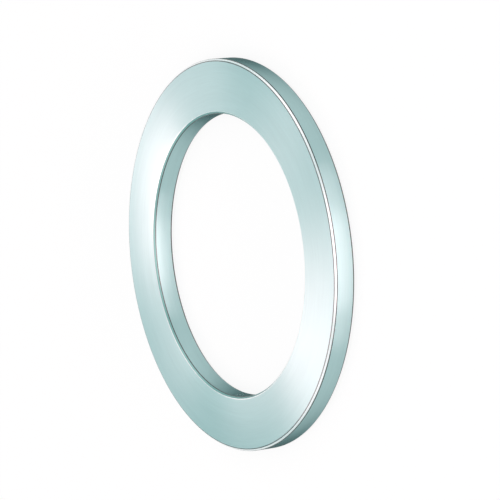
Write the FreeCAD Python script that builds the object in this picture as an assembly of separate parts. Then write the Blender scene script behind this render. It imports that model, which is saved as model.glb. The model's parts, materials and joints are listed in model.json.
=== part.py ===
import FreeCAD, Part
import math
import os

# Flat thrust washer for an axial roller bearing
# One turned and ground steel ring. It lies on its back face, which is at z = 0.
# The ring's axis is +Z, through the origin. All sizes are in millimetres.

# Driving dimensions

BORE_DIAMETER = 65.0
OUTER_DIAMETER = 90.0
THICKNESS = 5.25

# Edge breaks: how far each one runs in along the flat face, and its angle from that face

BORE_BREAK_WIDTH = 0.5
RIM_BREAK_WIDTH = 0.5
BREAK_ANGLE_DEG = 45.0

BACK_FACE_Z = 0.0
FRONT_FACE_Z = BACK_FACE_Z + THICKNESS


def section_point(radius, height):
    """A point of the washer's cross section, in the XZ plane."""
    return FreeCAD.Vector(radius, 0.0, height)


def break_depth(width):
    """How deep an edge break runs down the bore or the rim."""
    return width * math.tan(math.radians(BREAK_ANGLE_DEG))


def ring_section():
    """The cross section: a rectangle between bore and rim, with its four corners broken."""
    bore_radius = BORE_DIAMETER / 2.0
    rim_radius = OUTER_DIAMETER / 2.0
    bore_depth = break_depth(BORE_BREAK_WIDTH)
    rim_depth = break_depth(RIM_BREAK_WIDTH)

    back_face = [
        section_point(bore_radius + BORE_BREAK_WIDTH, BACK_FACE_Z),
        section_point(rim_radius - RIM_BREAK_WIDTH, BACK_FACE_Z),
    ]
    rim_wall = [
        section_point(rim_radius, BACK_FACE_Z + rim_depth),
        section_point(rim_radius, FRONT_FACE_Z - rim_depth),
    ]
    front_face = [
        section_point(rim_radius - RIM_BREAK_WIDTH, FRONT_FACE_Z),
        section_point(bore_radius + BORE_BREAK_WIDTH, FRONT_FACE_Z),
    ]
    bore_wall = [
        section_point(bore_radius, FRONT_FACE_Z - bore_depth),
        section_point(bore_radius, BACK_FACE_Z + bore_depth),
    ]
    corners = back_face + rim_wall + front_face + bore_wall
    outline = Part.makePolygon(corners + corners[:1])
    return Part.Face(outline)


def make_thrust_washer():
    """The section turned once about the washer's axis."""
    axis_point = FreeCAD.Vector(0.0, 0.0, 0.0)
    axis_direction = FreeCAD.Vector(0.0, 0.0, 1.0)
    ring = ring_section().revolve(axis_point, axis_direction, 360.0)
    return ring.Solids[0]


os.makedirs("parts", exist_ok=True)
make_thrust_washer().exportStep("parts/thrust_washer.step")
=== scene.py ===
import json
import math
from collections import namedtuple

import bpy
from bpy.props import FloatProperty, FloatVectorProperty, IntProperty, PointerProperty
from mathutils import Matrix, Vector


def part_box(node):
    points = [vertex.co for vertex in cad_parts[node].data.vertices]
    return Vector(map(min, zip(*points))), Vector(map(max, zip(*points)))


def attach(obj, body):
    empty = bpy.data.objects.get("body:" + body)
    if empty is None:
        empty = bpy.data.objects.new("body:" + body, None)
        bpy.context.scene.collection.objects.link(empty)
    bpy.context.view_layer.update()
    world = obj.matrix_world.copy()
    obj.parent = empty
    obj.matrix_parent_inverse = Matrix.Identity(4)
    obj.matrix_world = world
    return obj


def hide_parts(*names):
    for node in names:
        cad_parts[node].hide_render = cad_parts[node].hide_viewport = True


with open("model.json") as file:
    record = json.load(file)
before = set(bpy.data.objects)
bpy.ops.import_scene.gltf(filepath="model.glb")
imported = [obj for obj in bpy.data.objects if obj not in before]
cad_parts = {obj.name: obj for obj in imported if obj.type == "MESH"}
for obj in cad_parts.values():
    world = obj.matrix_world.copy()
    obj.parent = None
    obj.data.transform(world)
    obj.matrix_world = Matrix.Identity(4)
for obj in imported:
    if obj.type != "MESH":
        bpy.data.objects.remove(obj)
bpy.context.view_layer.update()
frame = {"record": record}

bl_info = {
    "name": "Thrust Washer",
    "version": (1, 0, 0),
    "blender": (4, 5, 0),
    "location": "3D View > Sidebar > Thrust Washer",
    "description": "A turned and ground steel thrust washer on a pale studio floor",
    "category": "Add Mesh",
}

# The frame: the solid's box and its bore, in metres. The spin may stray outwards by its rounding.

MM = 0.001
SPIN_ROUNDING = 0.0005 * MM
NODE = "thrust_washer"
NODE_LOW, NODE_HIGH = (Vector(corner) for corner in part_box(NODE))
MOUNTS = {mount["name"]: mount for mount in frame["record"]["mounts"]}
THICKNESS = NODE_HIGH.z - NODE_LOW.z
RIM_RADIUS = min(NODE_HIGH.x, NODE_HIGH.y, -NODE_LOW.x, -NODE_LOW.y) - SPIN_ROUNDING
BORE_RADIUS = MOUNTS["bore"]["dims"]["r_mm"] * MM
EDGE_BREAK = (THICKNESS - MOUNTS["bore"]["dims"]["length_mm"] * MM) / 2.0

# Surfaces, told apart by how far each one leans: the size of its normal's upright part

BREAK_SLOPE = math.sqrt(0.5)
SLOPE_TOLERANCE = 0.002
SMOOTH_ANGLE = math.radians(20.0)
WELD_DISTANCE = 0.001 * MM

TURNING_MAP = "turning"

# Marks that the tools left: fine lines, wider bands and faint clouds, and their shares in the tone

MARKS_SHARE = 0.35
BANDS_SHARE = 0.35
CLOUDS_SHARE = 0.30
BAND_WIDTH_IN_MARKS = 4.5
BAND_BREAKS_SHARE = 0.25
CLOUDS_PER_METRE = 38.0
USUAL_MARKS_PER_MM = 4.0
BREAKS_ROUND_THE_RING = 6.0
MARKS_DETAIL = 3.0
BANDS_DETAIL = 2.0
CLOUDS_DETAIL = 3.0
NOISE_ROUGHNESS = 0.6
NOISE_LOW = 0.3
NOISE_HIGH = 0.7
POLISH_SPREAD = 0.03
BUMP_STRENGTH = 0.3
ACROSS_THE_MARKS = 0.25

# How each surface of the steel is worked, with the depth of its marks in metres

Finish = namedtuple("Finish", "roughness anisotropy grazing_tint mark_depth marks_per_mm tone_spread")

GROUND = Finish(0.46, 0.85, (0.30, 0.40, 0.40), 0.002 * MM, 3.0, 0.05)
TURNED = Finish(0.33, 0.93, (0.00, 0.00, 0.00), 0.001 * MM, 3.0, 0.06)
BROKEN = Finish(0.40, 0.30, (0.90, 0.90, 0.90), 0.001 * MM, 6.0, 0.04)
LIP = Finish(0.32, 0.30, (0.90, 0.90, 0.90), 0.001 * MM, 6.0, 0.04)

# Soft lamps: directions in degrees, with 0 along +Y and 90 along +X, and sizes in metres

Softbox = namedtuple("Softbox", "name azimuth elevation width height radiance")

SOFTBOXES = (
    Softbox("Near strip", 187.0, 5.0, 2.2, 0.2, 8.5),
    Softbox("Near lamp", 189.0, 5.0, 0.9, 0.2, 8.0),
    Softbox("Near panel", 186.0, 49.0, 0.9, 0.4, 2.5),
    Softbox("Far panel", 329.5, 57.0, 0.5, 0.5, 3.5),
    Softbox("Far strip", 20.0, 22.0, 0.5, 0.3, 1.5),
    Softbox("Right panel", 50.0, 62.0, 0.5, 0.4, 1.15),
    Softbox("Side panel", 86.0, 37.0, 0.9, 0.4, 1.3),
    Softbox("Left panel", 274.0, 37.0, 0.9, 0.4, 0.9),
)
LAMP_DISTANCE = 1.0

# Floor and backdrop, in metres

FLOOR_RADIUS = 4.0
FLOOR_SIDES = 96
FLOOR_GAP = 0.01 * MM
FLOOR_ROUGHNESS = 0.9
BACKDROP_HEIGHT = 0.55
BACKDROP_WHITE = 1.0


# Sizes, colours and light that a user would change


class WasherSizes(bpy.types.PropertyGroup):
    """Sizes of the ring's mesh."""

    segments: IntProperty(
        name="Segments", description="Steps round the ring", default=360, min=64, max=720
    )
    lip_radius: FloatProperty(
        name="Lip radius",
        description="Softening of each lip of the edge breaks",
        default=0.12 * MM,
        unit="LENGTH",
        precision=6,
    )
    lip_steps: IntProperty(
        name="Lip steps", description="Facets across a softened lip", default=3, min=1, max=6
    )


def steel_colour(name, description, colour):
    """A colour property of the steel."""
    return FloatVectorProperty(name=name, description=description, subtype="COLOR", default=colour)


class WasherFinish(bpy.types.PropertyGroup):
    """Colours of the steel, each one at the bore and at the rim. The edge breaks and lips hold painted
    highlights and painted shade.
    """

    face_at_bore: steel_colour("Face at bore", "Ground faces beside the bore", (0.805, 0.915, 0.915))
    face_at_rim: steel_colour("Face at rim", "Ground faces beside the rim", (0.66, 0.81, 0.81))
    bore_wall: steel_colour("Bore wall", "Turned wall of the bore", (0.42, 0.60, 0.60))
    rim_wall: steel_colour("Rim wall", "Turned wall of the rim", (0.42, 0.60, 0.60))
    # Painted shade and painted highlight on one steel: the bore's edge break is dark teal as painted shade,
    # the rim's nearly white as a painted highlight.
    bore_break_painted_shade: steel_colour("Bore edge break painted shade", "Edge breaks of the bore", (0.26, 0.46, 0.44))
    rim_break_painted_highlight: steel_colour("Rim edge break painted highlight", "Edge breaks of the rim", (0.95, 0.97, 0.97))
    # Painted shade: the back face's edge breaks are near black, a painted contact shadow along the ring's
    # foot.
    back_break_painted_shade: steel_colour("Back edge breaks", "Edge breaks of the back face", (0.04, 0.06, 0.06))
    # Painted highlight: the bore's face lip is nearly white. Painted shade: the rim's face lip is a
    # near-black line.
    bore_face_lip_painted_highlight: steel_colour("Bore face lip painted highlight", "Line between face and bore break", (0.97, 0.98, 0.98))
    rim_face_lip_painted_shade: steel_colour("Rim face lip painted shade", "Line between face and rim break", (0.14, 0.15, 0.15))
    # Painted shade: both wall lips are near-black lines.
    bore_wall_lip_painted_shade: steel_colour("Bore wall lip painted shade", "Line between bore break and wall", (0.12, 0.12, 0.12))
    rim_wall_lip_painted_shade: steel_colour("Rim wall lip painted shade", "Line between rim break and wall", (0.07, 0.08, 0.08))


class WasherStage(bpy.types.PropertyGroup):
    """Camera, floor and light of the studio."""

    camera_elevation: FloatProperty(
        name="Camera elevation",
        description="Angle of the line of sight above the washer's front face",
        default=math.radians(31.59),
        subtype="ANGLE",
    )
    camera_roll: FloatProperty(
        name="Camera roll",
        description="Turn of the picture about the line of sight",
        default=math.radians(-96.41),
        subtype="ANGLE",
    )
    camera_distance: FloatProperty(
        name="Camera distance", description="From the front face's centre", default=0.6498, unit="LENGTH"
    )
    camera_aside: FloatVectorProperty(
        name="Camera offset",
        description="Offset to the picture's right and top",
        size=2,
        default=(0.00556, 0.00129),
        subtype="TRANSLATION",
    )
    camera_lens: FloatProperty(
        name="Camera lens", description="Focal length in millimetres", default=204.8
    )
    floor_colour: FloatVectorProperty(
        name="Floor colour", description="Pale floor", subtype="COLOR", default=(0.94, 0.92, 0.92)
    )
    floor_white: FloatProperty(
        name="Floor white",
        description="Share of plain white in the floor as the camera and the steel see it",
        default=0.88,
        subtype="FACTOR",
    )
    sky_colour: FloatVectorProperty(
        name="Sky colour", description="Light from all round", subtype="COLOR", default=(0.40, 0.62, 0.62)
    )
    lamp_colour: FloatVectorProperty(
        name="Lamp colour", description="Light of the soft lamps", subtype="COLOR", default=(1.0, 0.66, 0.68)
    )


def sizes():
    """The sizes set in this scene."""
    return bpy.context.scene.washer_sizes


def finish():
    """The steel's colours set in this scene."""
    return bpy.context.scene.washer_finish


def stage():
    """The studio's settings in this scene."""
    return bpy.context.scene.washer_stage


# Modelling helpers


def deselect_all():
    """Keeps the next operator off whatever was made before it."""
    bpy.ops.object.select_all(action="DESELECT")


def unwrapped_angle(place, middle):
    """The angle of a place round the axis, within half a turn of the middle angle."""
    angle = math.atan2(place.y, place.x)
    if angle - middle > math.pi:
        return angle - math.tau
    if middle - angle > math.pi:
        return angle + math.tau
    return angle


def turning_map(mesh):
    """UV map of the turning: u runs round the ring and v along the section, both in metres."""
    layer = mesh.uv_layers.new(name=TURNING_MAP)
    mean_radius = (RIM_RADIUS + BORE_RADIUS) / 2.0
    for face in mesh.polygons:
        middle = math.atan2(face.center.y, face.center.x)
        upright = abs(face.normal.z) < BREAK_SLOPE - SLOPE_TOLERANCE
        for loop_index in face.loop_indices:
            place = mesh.vertices[mesh.loops[loop_index].vertex_index].co
            run = place.z if upright else math.hypot(place.x, place.y)
            layer.data[loop_index].uv = (unwrapped_angle(place, middle) * mean_radius, run)


def surface_of(face):
    """The name of the surface that a facet of the ring belongs to."""
    slope = abs(face.normal.z)
    if slope > 1.0 - SLOPE_TOLERANCE:
        return "Ground face"
    if slope < SLOPE_TOLERANCE:
        return "Turned wall"
    if abs(slope - BREAK_SLOPE) < SLOPE_TOLERANCE:
        # The back edge breaks take a near-black painted shade.
        return "Edge break" if face.normal.z > 0.0 else "Back edge painted shade"
    return "Face lip painted highlight and shade" if slope > BREAK_SLOPE else "Wall lip painted shade"


# Shader helpers


def add_node(tree, kind, **values):
    """A new node with some of its own settings."""
    node = tree.nodes.new(kind)
    for name, value in values.items():
        setattr(node, name, value)
    return node


def math_node(tree, operation, first, second=None):
    """A Math node fed with sockets or plain numbers."""
    node = add_node(tree, "ShaderNodeMath", operation=operation)
    for socket, value in zip(node.inputs, (first, second)):
        if isinstance(value, bpy.types.NodeSocket):
            tree.links.new(value, socket)
        elif value is not None:
            socket.default_value = value
    return node.outputs[0]


def remap(tree, value, source, target):
    """A Map Range node from one pair of limits to another."""
    node = add_node(tree, "ShaderNodeMapRange")
    limits = zip(("From Min", "From Max", "To Min", "To Max"), (*source, *target))
    for name, limit in limits:
        node.inputs[name].default_value = limit
    tree.links.new(value, node.inputs["Value"])
    return node.outputs[0]


def group_with(name, inputs, outputs):
    """A new shader node group with named number sockets, and its input and output nodes."""
    group = bpy.data.node_groups.new(name, "ShaderNodeTree")
    for socket, default in inputs:
        made = group.interface.new_socket(name=socket, in_out="INPUT", socket_type="NodeSocketFloat")
        made.default_value = default
    for socket in outputs:
        group.interface.new_socket(name=socket, in_out="OUTPUT", socket_type="NodeSocketFloat")
    return group, group.nodes.new("NodeGroupInput"), group.nodes.new("NodeGroupOutput")


def ring_noise(tree, radius, height, direction, density, breaks, detail):
    """Noise in lines round the axis, which break off now and then on their way round."""
    cosine, sine = direction
    spot = add_node(tree, "ShaderNodeCombineXYZ")
    tree.links.new(math_node(tree, "MULTIPLY", radius, density), spot.inputs[0])
    tree.links.new(math_node(tree, "MULTIPLY", height, density), spot.inputs[1])
    tree.links.new(math_node(tree, "MULTIPLY", cosine, breaks), spot.inputs[2])
    noise = add_node(tree, "ShaderNodeTexNoise", noise_dimensions="4D")
    noise.inputs["Scale"].default_value = 1.0
    noise.inputs["Detail"].default_value = detail
    noise.inputs["Roughness"].default_value = NOISE_ROUGHNESS
    tree.links.new(spot.outputs[0], noise.inputs["Vector"])
    tree.links.new(math_node(tree, "MULTIPLY", sine, breaks), noise.inputs["W"])
    return noise.outputs["Fac"]


def turning_grain_group():
    """Tool marks round the axis, the tone that they give the steel, and the way from bore to rim."""
    name = "Turning grain"
    if name in bpy.data.node_groups:
        return bpy.data.node_groups[name]
    group, given, result = group_with(
        name,
        inputs=(
            ("Marks per millimetre", USUAL_MARKS_PER_MM),
            ("Breaks round the ring", BREAKS_ROUND_THE_RING),
        ),
        outputs=("Marks", "Tone", "Bore to rim"),
    )
    coordinates = add_node(group, "ShaderNodeTexCoord")
    place = add_node(group, "ShaderNodeSeparateXYZ")
    group.links.new(coordinates.outputs["Object"], place.inputs[0])
    x, y, z = place.outputs
    x_squared = math_node(group, "MULTIPLY", x, x)
    y_squared = math_node(group, "MULTIPLY", y, y)
    radius = math_node(group, "SQRT", math_node(group, "ADD", x_squared, y_squared))
    direction = (math_node(group, "DIVIDE", x, radius), math_node(group, "DIVIDE", y, radius))

    density = math_node(group, "DIVIDE", given.outputs["Marks per millimetre"], MM)
    breaks = given.outputs["Breaks round the ring"]
    marks = ring_noise(group, radius, z, direction, density, breaks, MARKS_DETAIL)
    band_density = math_node(group, "DIVIDE", density, BAND_WIDTH_IN_MARKS)
    band_breaks = math_node(group, "MULTIPLY", breaks, BAND_BREAKS_SHARE)
    bands = ring_noise(group, radius, z, direction, band_density, band_breaks, BANDS_DETAIL)
    clouds = add_node(group, "ShaderNodeTexNoise")
    clouds.inputs["Scale"].default_value = CLOUDS_PER_METRE
    clouds.inputs["Detail"].default_value = CLOUDS_DETAIL
    group.links.new(coordinates.outputs["Object"], clouds.inputs["Vector"])

    lines = math_node(group, "MULTIPLY", marks, MARKS_SHARE)
    lines = math_node(group, "ADD", lines, math_node(group, "MULTIPLY", bands, BANDS_SHARE))
    haze = math_node(group, "MULTIPLY", clouds.outputs["Fac"], CLOUDS_SHARE)
    group.links.new(marks, result.inputs["Marks"])
    group.links.new(math_node(group, "ADD", lines, haze), result.inputs["Tone"])
    way = remap(group, radius, (BORE_RADIUS, RIM_RADIUS), (0.0, 1.0))
    group.links.new(way, result.inputs["Bore to rim"])
    return group


def steel_material(name, bore_colour, rim_colour, work):
    """Steel whose marks run round the ring and give its tone, polish and bump."""
    material = bpy.data.materials.new(name)
    material.use_nodes = True
    tree = material.node_tree
    shader = tree.nodes["Principled BSDF"]
    shader.inputs["Metallic"].default_value = 1.0
    shader.inputs["Anisotropic"].default_value = work.anisotropy
    shader.inputs["Anisotropic Rotation"].default_value = ACROSS_THE_MARKS
    shader.inputs["Specular Tint"].default_value = (*work.grazing_tint, 1.0)

    grain = add_node(tree, "ShaderNodeGroup", node_tree=turning_grain_group())
    grain.inputs["Marks per millimetre"].default_value = work.marks_per_mm
    tone = grain.outputs["Tone"]

    # The colour runs from the bore's to the rim's; on the edge breaks and lips these colours are painted
    # shade and painted highlights.
    colours = add_node(tree, "ShaderNodeValToRGB")
    for stop, colour in zip(colours.color_ramp.elements, (bore_colour, rim_colour)):
        stop.color = (*colour, 1.0)
    tree.links.new(grain.outputs["Bore to rim"], colours.inputs[0])
    shade = add_node(tree, "ShaderNodeVectorMath", operation="SCALE")
    tree.links.new(colours.outputs["Color"], shade.inputs["Vector"])
    brightness = (1.0 - work.tone_spread, 1.0 + work.tone_spread)
    tree.links.new(remap(tree, tone, (NOISE_LOW, NOISE_HIGH), brightness), shade.inputs["Scale"])
    tree.links.new(shade.outputs["Vector"], shader.inputs["Base Color"])

    polish = (work.roughness * (1.0 - POLISH_SPREAD), work.roughness * (1.0 + POLISH_SPREAD))
    tree.links.new(remap(tree, tone, (NOISE_LOW, NOISE_HIGH), polish), shader.inputs["Roughness"])

    bump = add_node(tree, "ShaderNodeBump")
    bump.inputs["Strength"].default_value = BUMP_STRENGTH
    bump.inputs["Distance"].default_value = work.mark_depth
    tree.links.new(grain.outputs["Marks"], bump.inputs["Height"])
    tree.links.new(bump.outputs[0], shader.inputs["Normal"])

    tangent = add_node(tree, "ShaderNodeTangent", direction_type="UV_MAP", uv_map=TURNING_MAP)
    tree.links.new(tangent.outputs[0], shader.inputs["Tangent"])
    return material


def pale_material(name, white_share):
    """Pale matt paint that keeps its shadows and shows in part as plain white."""
    material = bpy.data.materials.new(name)
    material.use_nodes = True
    tree = material.node_tree
    shader = tree.nodes["Principled BSDF"]
    shader.inputs["Base Color"].default_value = (*stage().floor_colour, 1.0)
    shader.inputs["Roughness"].default_value = FLOOR_ROUGHNESS
    shader.inputs["Specular IOR Level"].default_value = 0.0
    white = add_node(tree, "ShaderNodeEmission")
    light_path = add_node(tree, "ShaderNodeLightPath")
    seen = light_path.outputs["Is Camera Ray"]
    for other in ("Is Glossy Ray", "Is Transmission Ray"):
        seen = math_node(tree, "MAXIMUM", seen, light_path.outputs[other])
    mix = add_node(tree, "ShaderNodeMixShader")
    tree.links.new(math_node(tree, "MULTIPLY", seen, white_share), mix.inputs[0])
    tree.links.new(shader.outputs[0], mix.inputs[1])
    tree.links.new(white.outputs[0], mix.inputs[2])
    tree.links.new(mix.outputs[0], tree.nodes["Material Output"].inputs["Surface"])
    return material


# Operators


class WASHER_OT_ring(bpy.types.Operator):
    """Models the ring: its section is broken at the corners, softened at the lips and spun round"""

    bl_idname = "washer.ring"
    bl_label = "Washer ring"

    def execute(self, context):
        self.draw_section()
        bpy.ops.mesh.spin(
            steps=sizes().segments, angle=math.tau, center=(0.0, 0.0, 0.0), axis=(0.0, 0.0, 1.0)
        )
        bpy.ops.mesh.select_all(action="SELECT")
        bpy.ops.mesh.remove_doubles(threshold=WELD_DISTANCE)
        bpy.ops.mesh.normals_make_consistent(inside=False)
        bpy.ops.object.mode_set(mode="OBJECT")
        ring = context.object
        ring.name = ring.data.name = "washer_ring"
        turning_map(ring.data)
        self.dress(ring.data)
        bpy.ops.object.shade_smooth_by_angle(angle=SMOOTH_ANGLE)
        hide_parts(NODE)
        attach(ring, "root")
        return {"FINISHED"}

    def draw_section(self):
        """The section in the XZ plane, left in edit mode as a closed loop of edges."""
        deselect_all()
        bpy.ops.mesh.primitive_plane_add(size=1.0, rotation=(math.pi / 2.0, 0.0, 0.0))
        plane = bpy.context.object
        plane.scale = (RIM_RADIUS - BORE_RADIUS, THICKNESS, 1.0)
        plane.location = ((RIM_RADIUS + BORE_RADIUS) / 2.0, 0.0, NODE_LOW.z + THICKNESS / 2.0)
        bpy.ops.object.transform_apply(location=True, rotation=True, scale=True)
        bpy.ops.object.mode_set(mode="EDIT")
        for offset, steps in ((EDGE_BREAK, 1), (sizes().lip_radius, sizes().lip_steps)):
            bpy.ops.mesh.select_all(action="SELECT")
            bpy.ops.mesh.bevel(offset=offset, segments=steps, affect="VERTICES", clamp_overlap=False)
        bpy.ops.mesh.select_all(action="SELECT")
        bpy.ops.mesh.delete(type="ONLY_FACE")
        bpy.ops.mesh.select_all(action="SELECT")

    def dress(self, mesh):
        """Gives each surface its own finish; the edge breaks and lips get colours of painted shade and
        painted highlights.
        """
        look = finish()
        # Painted shade on the bore's edge break, the back edge breaks and three lips; painted highlights on
        # the rim's edge break and the bore's face lip.
        steels = {
            "Ground face": (look.face_at_bore, look.face_at_rim, GROUND),
            "Turned wall": (look.bore_wall, look.rim_wall, TURNED),
            "Edge break": (look.bore_break_painted_shade, look.rim_break_painted_highlight, BROKEN),
            "Back edge painted shade": (look.back_break_painted_shade, look.back_break_painted_shade, BROKEN),
            "Face lip painted highlight and shade": (look.bore_face_lip_painted_highlight, look.rim_face_lip_painted_shade, LIP),
            "Wall lip painted shade": (look.bore_wall_lip_painted_shade, look.rim_wall_lip_painted_shade, LIP),
        }
        for name, steel in steels.items():
            mesh.materials.append(steel_material(name, *steel))
        order = list(steels)
        for face in mesh.polygons:
            face.material_index = order.index(surface_of(face))


class WASHER_OT_stage(bpy.types.Operator):
    """Sets the floor, the backdrop, the soft studio light and the camera"""

    bl_idname = "washer.stage"
    bl_label = "Studio stage"

    def execute(self, context):
        self.lay_floor()
        self.raise_backdrop()
        self.light_sky(context.scene)
        for softbox in SOFTBOXES:
            self.hang(context.scene, softbox)
        self.aim_camera(context.scene)
        context.scene.view_settings.view_transform = "Standard"
        return {"FINISHED"}

    def lay_floor(self):
        """A wide round floor just below the washer."""
        deselect_all()
        bpy.ops.mesh.primitive_circle_add(
            vertices=FLOOR_SIDES,
            radius=FLOOR_RADIUS,
            fill_type="NGON",
            location=(0.0, 0.0, NODE_LOW.z - FLOOR_GAP),
        )
        floor = bpy.context.object
        floor.name = "studio_floor"
        bpy.ops.object.transform_apply(location=True, rotation=True, scale=True)
        floor.data.materials.append(pale_material("Studio floor", stage().floor_white))

    def raise_backdrop(self):
        """A low white wall all round, which hides the edge of the floor."""
        deselect_all()
        bpy.ops.mesh.primitive_cylinder_add(
            vertices=FLOOR_SIDES,
            radius=FLOOR_RADIUS,
            depth=BACKDROP_HEIGHT,
            end_fill_type="NOTHING",
            location=(0.0, 0.0, NODE_LOW.z - FLOOR_GAP + BACKDROP_HEIGHT / 2.0),
        )
        backdrop = bpy.context.object
        backdrop.name = "studio_backdrop"
        bpy.ops.object.transform_apply(location=True, rotation=True, scale=True)
        bpy.ops.object.mode_set(mode="EDIT")
        bpy.ops.mesh.select_all(action="SELECT")
        bpy.ops.mesh.flip_normals()
        bpy.ops.object.mode_set(mode="OBJECT")
        backdrop.data.materials.append(pale_material("Studio backdrop", BACKDROP_WHITE))

    def light_sky(self, scene):
        """Even light from all round."""
        scene.world = bpy.data.worlds.new("Studio")
        scene.world.use_nodes = True
        background = scene.world.node_tree.nodes["Background"]
        background.inputs["Color"].default_value = (*stage().sky_colour, 1.0)
        background.inputs["Strength"].default_value = 1.0

    def hang(self, scene, softbox):
        """A rectangular lamp that faces the washer."""
        lamp = bpy.data.lights.new(softbox.name, "AREA")
        lamp.shape = "RECTANGLE"
        lamp.size = softbox.width
        lamp.size_y = softbox.height
        lamp.color = stage().lamp_colour
        lamp.energy = softbox.radiance * softbox.width * softbox.height * math.pi
        holder = bpy.data.objects.new(softbox.name, lamp)
        scene.collection.objects.link(holder)
        azimuth = math.radians(softbox.azimuth)
        elevation = math.radians(softbox.elevation)
        level = math.cos(elevation)
        direction = Vector((math.sin(azimuth) * level, math.cos(azimuth) * level, math.sin(elevation)))
        holder.location = direction * LAMP_DISTANCE
        holder.rotation_euler = direction.to_track_quat("Z", "Y").to_euler()

    def aim_camera(self, scene):
        """Looks down on the front face, with the picture turned about the line of sight."""
        view = stage()
        lens = bpy.data.cameras.new("Camera")
        lens.lens = view.camera_lens
        camera = bpy.data.objects.new("Camera", lens)
        scene.collection.objects.link(camera)
        scene.camera = camera
        right, top = view.camera_aside
        camera.matrix_world = (
            Matrix.Translation((0.0, 0.0, NODE_HIGH.z))
            @ Matrix.Rotation(math.pi / 2.0 - view.camera_elevation, 4, "X")
            @ Matrix.Rotation(view.camera_roll, 4, "Z")
            @ Matrix.Translation((right, top, view.camera_distance))
        )


class WASHER_PT_panel(bpy.types.Panel):
    """Lists the washer's settings and operators"""

    bl_label = "Thrust Washer"
    bl_idname = "WASHER_PT_panel"
    bl_space_type = "VIEW_3D"
    bl_region_type = "UI"
    bl_category = "Thrust Washer"

    def draw(self, context):
        for settings in (sizes(), finish(), stage()):
            for name in settings.__annotations__:
                self.layout.prop(settings, name)
        self.layout.operator(WASHER_OT_ring.bl_idname)
        self.layout.operator(WASHER_OT_stage.bl_idname)


CLASSES = (WasherSizes, WasherFinish, WasherStage, WASHER_OT_ring, WASHER_OT_stage, WASHER_PT_panel)


def register():
    for item in CLASSES:
        bpy.utils.register_class(item)
    bpy.types.Scene.washer_sizes = PointerProperty(type=WasherSizes)
    bpy.types.Scene.washer_finish = PointerProperty(type=WasherFinish)
    bpy.types.Scene.washer_stage = PointerProperty(type=WasherStage)


def unregister():
    del bpy.types.Scene.washer_sizes
    del bpy.types.Scene.washer_finish
    del bpy.types.Scene.washer_stage
    for item in reversed(CLASSES):
        bpy.utils.unregister_class(item)


def main():
    register()
    bpy.ops.washer.ring()
    bpy.ops.washer.stage()


if __name__ == "__main__":
    main()
